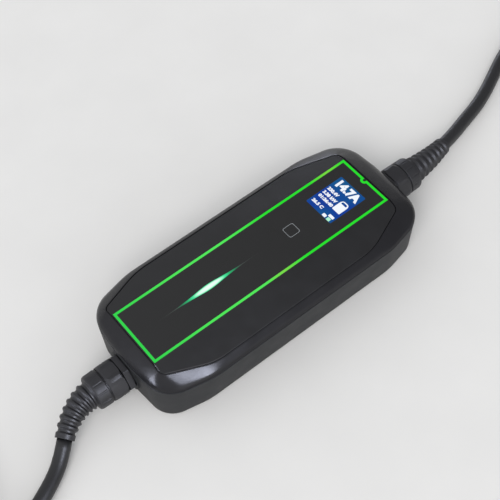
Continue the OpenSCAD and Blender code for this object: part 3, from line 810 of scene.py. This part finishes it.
@dataclass
class Cables:
    """Both cables of the charger, along the routes of their solids, in mm."""

    shop: Workshop
    diameter: float = 11.0
    sides: int = 20
    supply_step: float = 4.0
    vehicle_step: float = 6.0
    supply_route: tuple = (
        (192.2, 5.5, 15.33), (208.4, 10.0, 11.73), (230, 16.5, 9), (251, 23, 6.8), (271, 31, 5.9),
        (290, 40, 5.7), (310, 49, 5.7), (330, 55.5, 5.7), (345, 58, 5.8), (360.5, 56.5, 6.8), (374.5, 50, 9),
        (385.5, 39, 12.5), (392, 25.5, 16.4), (394, 14, 18.5), (394, 7, 18.5),
    )
    lead_route: tuple = (
        (-184.8, -13.2, 12.06), (-198.3, -24.0, 5.76), (-215, -34.5, 5.8), (-236, -44, 5.7), (-260, -51, 5.7),
        (-285, -55, 6.3), (-308, -55.9, 7),
    )
    end_route: tuple = (
        (-340, -29.5, 42.5), (-361, -16.5, 48.5), (-382, -4, 56.5), (-401, 0, 62), (-412, 0, 62),
    )
    hank_x: float = -320.0
    hank_run: float = 200.0
    hank_bend: float = 33.0
    hank_turns: float = 7 / 3
    hank_layers: int = 3
    hank_base: float = 7.0
    hank_points: int = 26
    # Shares of a turn: each straight run, each fold, and the climb to the next layer
    straight: float = 0.3
    fold: float = 0.2
    climb: float = 0.25
    supply: Run = Run("supply_cable", ("supply_cord",), "bend_boot_supply", "plug", "loose",
                      ("plug_boot", "plug_body", "plug_pins", "plug_earth_clips"))
    vehicle: Run = Run("vehicle_cable", ("vehicle_cord", "vehicle_hank", "vehicle_cord_end"),
                       "bend_boot_vehicle", "connector", "coiled",
                       ("hank_ties", "connector_boot", "connector_grip", "connector_nose", "connector_cap"))

    def hank(self) -> np.ndarray:
        """Winding of the hank: a stadium whose radius spirals in, out and in, and rises at each layer's end.

        Returns:
            Points in mm.
        """
        count = int(round(self.hank_turns * self.hank_layers)) * self.hank_points
        turns = np.arange(count + 1) / self.hank_points
        layer = np.minimum(np.floor(turns / self.hank_turns + 1e-9), self.hank_layers - 1)
        done = turns - layer * self.hank_turns
        level = self.hank_turns - self.climb
        spiral = np.clip(done / level, 0, 1)
        radius = self.hank_bend + self.diameter * level * np.where(layer % 2 == 0, 1 - spiral, spiral)
        rise = np.clip((done - level) / self.climb, 0, 1)
        z = self.hank_base + self.diameter * (layer + rise * rise * (3 - 2 * rise))
        u = turns % 1.0
        near, far = self.hank_x, self.hank_x - self.hank_run
        half = self.straight + self.fold
        turn_far, turn_near = (np.clip((u - start) / self.fold, 0, 1) * np.pi
                               for start in (self.straight, half + self.straight))
        x_out = near - np.clip(u / self.straight, 0, 1) * self.hank_run
        x_back = far + np.clip((u - half) / self.straight, 0, 1) * self.hank_run
        where = [u < self.straight, u < half, u < half + self.straight]
        x = np.select(where, [x_out, far - radius * np.sin(turn_far), x_back],
                      near + radius * np.sin(turn_near))
        y = np.select(where, [-radius, -radius * np.cos(turn_far), radius], radius * np.cos(turn_near))
        return np.column_stack([x, y, z])

    def draw(self, run: Run, route: np.ndarray, step: float) -> None:
        """Args:
            run: What the cable stands for and carries; only its name and the solids it stands for are used.
            route: Points in mm.
            step: Spacing of the samples in mm.
        """
        thick = self.diameter * MM
        path = spline(route * MM, step * MM)
        mesh = tube(run.name, path, thick / 2, self.sides)
        piece = self.shop.piece(mesh, JACKET_TPU, "cable_jacket", *run.solids)

    def build(self, skins: dict[str, bpy.types.Object]) -> None:
        """Lays both cables.

        Args:
            skins: Rounded copies, among them the bend boots; not used.
        """
        wound = np.concatenate([np.array(self.lead_route), self.hank(), np.array(self.end_route)])
        self.draw(self.supply, np.array(self.supply_route), self.supply_step)
        self.draw(self.vehicle, wound, self.vehicle_step)


@dataclass(frozen=True)
class Figures:
    """One line of figures on the display: start, base line, height and length, in mm from its middle."""

    text: str
    left: float
    base: float
    height: float
    width: float


@dataclass(frozen=True)
class Mark:
    """One rounded block on the display: middle and half sizes in mm, and the power of its upper corners."""

    name: str
    middle: tuple[float, float]
    half: tuple[float, float]
    kind: Finish = GLYPH
    rise: float = 0.08
    power: float = 6.0


@dataclass
class Front:
    """What shows on the smoked sheet: display, figures, key outline and charging light, in mm."""

    shop: Workshop
    top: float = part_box("front_panel")[1].z / MM
    sink: float = 0.02
    edge_points: int = 96
    display_x: float = middle_x("display_module")
    display_half: tuple[float, float] = (17.4, 13.6)
    display_power: float = 40.0
    display_rise: float = 0.02
    key_x: float = middle_x("touch_sensor")
    key_half: float = 4.9
    key_line: float = 0.42
    key_power: float = 7.0
    light_x: float = GLOW.middle_mm
    light_half: tuple[float, float] = (46.0, 2.4)
    light_blunt: float = 0.12
    light_power: float = 2.6
    light_tail: float = 0.07
    light_points: int = 65
    print_rise: float = 0.03
    letter_low: float = 0.05
    letter_high: float = 0.09
    letter_bold: float = 0.06
    letter_steps: int = 3
    mark_t: float = 0.04
    mark_foot: float = 16.0
    mark_points: int = 64
    rows: tuple[Figures, ...] = (
        Figures("14.7A", -10.8, 7.9, 8.0, 23.0),
        Figures("230.4V", -12.2, 1.8, 3.1, 11.2),
        Figures("3.38 kW", -12.0, -3.0, 3.1, 14.2),
        Figures("01:26:40", -12.0, -7.5, 3.1, 14.8),
        Figures("26.5 C", -11.8, -13.9, 3.1, 11.4),
    )
    marks: tuple[Mark, ...] = (
        Mark("display_post", (7.7, -1.8), (3.9, 5.5), power=3.4),
        Mark("display_post_window", (7.6, 1.7), (2.5, 1.0), SCREEN, 0.11, 3.4),
        Mark("display_block_left", (5.2, -15.7), (1.7, 1.3)),
        Mark("display_block_right", (9.6, -12.8), (2.5, 1.2)),
        Mark("display_dot", (9.9, -15.9), (1.6, 1.4), DOT),
    )

    def place(self, flat: np.ndarray) -> np.ndarray:
        """Turns reading coordinates into the part's: words run towards -Y and their tops point to +X.

        Args:
            flat: Points across and up the display, in mm from its middle.

        Returns:
            Points in the part's x and y, in mm.
        """
        return np.column_stack([self.display_x + flat[:, 1], -flat[:, 0]])

    def words(self, row: Figures, index: int) -> None:
        """Sets one line of figures as flat raised letters, stretched to the line's height and length.

        Args:
            row: Figures and their place.
            index: Number of the line.
        """
        curve = bpy.data.curves.new(f"display_line_{index}", "FONT")
        curve.body = row.text
        curve.resolution_u = self.letter_steps
        curve.extrude = self.letter_high
        curve.offset = self.letter_bold
        holder = bpy.data.objects.new(curve.name, curve)
        bpy.context.scene.collection.objects.link(holder)
        bpy.context.view_layer.update()
        shown = holder.evaluated_get(bpy.context.evaluated_depsgraph_get())
        mesh = bpy.data.meshes.new_from_object(shown)
        bpy.data.objects.remove(holder)
        points = points_of(mesh)
        low, high = points.min(0), points.max(0)
        share = (points - low) / (high - low)
        flat = np.array([row.left, row.base]) + share[:, :2] * [row.width, row.height]
        z = self.top + np.where(points[:, 2] > 0, self.letter_high, self.letter_low)
        laid = np.column_stack([self.place(flat), z]) * MM
        mesh.vertices.foreach_set("co", laid.reshape(-1))
        mesh.name = curve.name
        mesh.materials.clear()
        self.shop.piece(mesh, GLYPH, "display_glass")

    def display(self) -> None:
        """Lays the lit field, its figures and its marks."""
        a, b = self.display_half
        lit = self.place(superellipse(b, a, self.display_power, self.edge_points))
        mesh = slab("display_field", lit, self.top - self.sink, self.top + self.display_rise)
        self.shop.piece(mesh, SCREEN, "display_glass")
        for index, row in enumerate(self.rows):
            self.words(row, index)
        for mark in self.marks:
            flat = superellipse(*mark.half, mark.power, self.mark_points, self.mark_foot)
            flat = flat + np.array(mark.middle)
            high = self.top + mark.rise
            mesh = slab(mark.name, self.place(flat), high - self.mark_t, high)
            self.shop.piece(mesh, mark.kind, "display_glass")

    def key(self) -> None:
        """Lays the printed outline of the touch key."""
        shift = np.array([self.key_x, 0.0])
        outer, inner = (superellipse(half, half, self.key_power, self.edge_points) + shift
                        for half in (self.key_half, self.key_half - self.key_line))
        mesh = ring_slab("touch_key_outline", outer, inner, self.top - self.sink, self.top + self.print_rise)
        self.shop.piece(mesh, KEY_PRINT, "panel_sheet")

    def light(self) -> None:
        """Lays the charging light: its half width is a power of what is left of the way to the tip."""
        half, wide = self.light_half
        x = np.linspace(-half, half, self.light_points)
        blunt = self.light_blunt
        left = 1 - (np.hypot(x / half, blunt) - blunt) / (math.hypot(1.0, blunt) - blunt)
        y = wide * ((1 - self.light_tail) * left ** self.light_power + self.light_tail * left)
        spindle = np.concatenate([np.column_stack([x, -y]), np.column_stack([x, y])[-2:0:-1]])
        spindle = spindle + [self.light_x, 0.0]
        mesh = slab("charge_glow", spindle, self.top - self.sink, self.top + self.print_rise)
        self.shop.piece(mesh, GLOW, "light_guide")

    def build(self) -> None:
        """Lays all that shows on the sheet."""
        self.display()
        self.key()
        self.light()


@dataclass(frozen=True)
class Lamp:
    """Soft elliptical lamp: its place and what it faces, its two axes in metres, and its power in watts."""

    name: str
    place: tuple[float, float, float]
    aim: tuple[float, float, float]
    size: tuple[float, float]
    power: float
    colour: str
    reach: Reach


@dataclass(frozen=True)
class Level:
    """Change of the room's light along one axis of the direction: a level at its start and one at its end."""

    axis: str
    start: float
    end: float
    first: float
    last: float


@dataclass
class Studio:
    """Camera at the photograph's angle, pale floor and soft light, in metres."""

    shop: Workshop
    place: tuple[float, float, float] = (-0.2716, -0.3638, 0.7238)
    right: tuple[float, float, float] = (0.780, -0.625, -0.033)
    down: tuple[float, float, float] = (-0.531, -0.635, -0.561)
    lens_mm: float = 81.07
    sensor_mm: float = 36.0
    clip: tuple[float, float] = (0.05, 120.0)
    floor_half: float = 40.0
    floor_drop: float = 0.0005
    room: str = "#f4f5f8"
    # Three windows that only shine on the plastic, and one broad lamp for all matt light
    lamps: tuple[Lamp, ...] = (
        Lamp("near window", (-0.085, -0.488, 0.452), (-0.095, -0.047, 0.044), (0.14, 0.28), 3.8, "#e6ebff",
             Reach.SHINE),
        Lamp("end window", (-1.058, 0.018, 0.170), (-0.117, -0.03, 0.045), (0.29, 0.45), 9.7, "#e6ebff",
             Reach.SHINE),
        Lamp("far window", (0.51, 0.72, 0.08), (0.10, 0.04, 0.045), (0.26, 0.10), 0.6, "#e6ebff",
             Reach.SHINE),
        Lamp("key", (-5.40, -4.20, 6.60), (0.0, 0.0, 0.0), (5.40, 5.40), 396.0, "#fffcfb", Reach.MATT),
    )
    # Darker beyond the display end, overhead, at the horizon and behind, and brighter in front
    levels: tuple[Level, ...] = (
        Level("X", 0.1, 0.5, 1.1, 0.42), Level("Z", 0.5, 1.0, 1.0, 0.66), Level("Z", 0.0, 0.35, 0.7, 1.0),
        Level("Y", -0.95, -0.8, 2.4, 1.0), Level("Y", 0.55, 0.9, 1.0, 0.65),
    )

    def camera(self) -> None:
        """Sets the camera from its place and the image's two directions."""
        right = np.array(self.right) / np.linalg.norm(self.right)
        up = -np.array(self.down)
        up = up - right * (up @ right)
        up /= np.linalg.norm(up)
        lens = bpy.data.cameras.new("camera")
        lens.lens, lens.sensor_width = self.lens_mm, self.sensor_mm
        lens.clip_start, lens.clip_end = self.clip
        made = bpy.data.objects.new("camera", lens)
        bpy.context.scene.collection.objects.link(made)
        turn = Matrix(np.column_stack([right, up, np.cross(right, up)]).tolist()).to_4x4()
        made.matrix_world = Matrix.Translation(self.place) @ turn
        bpy.context.scene.camera = made

    def hang(self, kind: Lamp) -> None:
        """Hangs one lamp, turned to what it faces.

        Args:
            kind: The lamp's place, size and light.
        """
        lamp = bpy.data.lights.new(kind.name, "AREA")
        lamp.shape, lamp.energy = "ELLIPSE", kind.power
        lamp.size, lamp.size_y = kind.size
        lamp.color = linear(kind.colour)[:3]
        made = bpy.data.objects.new(kind.name, lamp)
        bpy.context.scene.collection.objects.link(made)
        back = np.array(kind.place) - np.array(kind.aim)
        back /= np.linalg.norm(back)
        side = np.cross([0.0, 0.0, 1.0], back)
        side /= np.linalg.norm(side)
        turn = Matrix(np.column_stack([side, np.cross(back, side), back]).tolist()).to_4x4()
        made.matrix_world = Matrix.Translation(kind.place) @ turn
        made.visible_camera = False
        made.visible_glossy, made.visible_diffuse = kind.reach.value

    def light_room(self) -> None:
        """Sets the room's light: the product of its levels in each direction."""
        world = bpy.data.worlds.new("room")
        world.use_nodes = True
        tree = world.node_tree
        toward = add(tree, "ShaderNodeSeparateXYZ", {0: add(tree, "ShaderNodeTexCoord").outputs["Generated"]})
        strength = 1.0
        for level in self.levels:
            change = add(tree, "ShaderNodeMapRange",
                         {"Value": toward.outputs[level.axis], "From Min": level.start, "From Max": level.end,
                          "To Min": level.first, "To Max": level.last})
            product = add(tree, "ShaderNodeMath", {0: strength, 1: change.outputs[0]}, operation="MULTIPLY")
            strength = product.outputs[0]
        background = tree.nodes["Background"]
        background.inputs["Color"].default_value = linear(self.room)
        tree.links.new(strength, background.inputs["Strength"])
        bpy.context.scene.world = world

    def floor(self) -> None:
        """Lays the pale floor that the charger rests on."""
        square = np.array([(-1.0, -1.0), (1.0, -1.0), (1.0, 1.0), (-1.0, 1.0)]) * self.floor_half
        corners = np.column_stack([square, np.full(4, -self.floor_drop)])
        mesh = mesh_of("floor", corners, [[0, 1, 2, 3]], smooth=False)
        mesh.materials.append(self.shop.finish(FLOOR_PAINT))
        board = bpy.data.objects.new("floor", mesh)
        bpy.context.scene.collection.objects.link(board)

    def build(self) -> None:
        """Sets up camera, lights and floor."""
        self.camera()
        for lamp in self.lamps:
            self.hang(lamp)
        self.light_room()
        self.floor()
        bpy.context.scene.view_settings.view_transform = "Standard"


def dress(shop: Workshop) -> None:
    """Gives every solid that stays its own finish.

    Args:
        shop: Keeper of the materials.
    """
    for node, kind in NODE_FINISH.items():
        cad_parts[node].material_slots[0].material = shop.finish(kind)
        LOG.info("%s: %s", node, kind.name)


def main() -> None:
    """Builds the scene."""
    logging.basicConfig(level=logging.INFO, format="%(message)s")
    shop = Workshop()
    Studio(shop).build()
    skins = Skins(shop).build()
    Cables(shop).build(skins)
    Front(shop).build()
    dress(shop)
    bpy.context.view_layer.update()


if __name__ == "__main__":
    main()
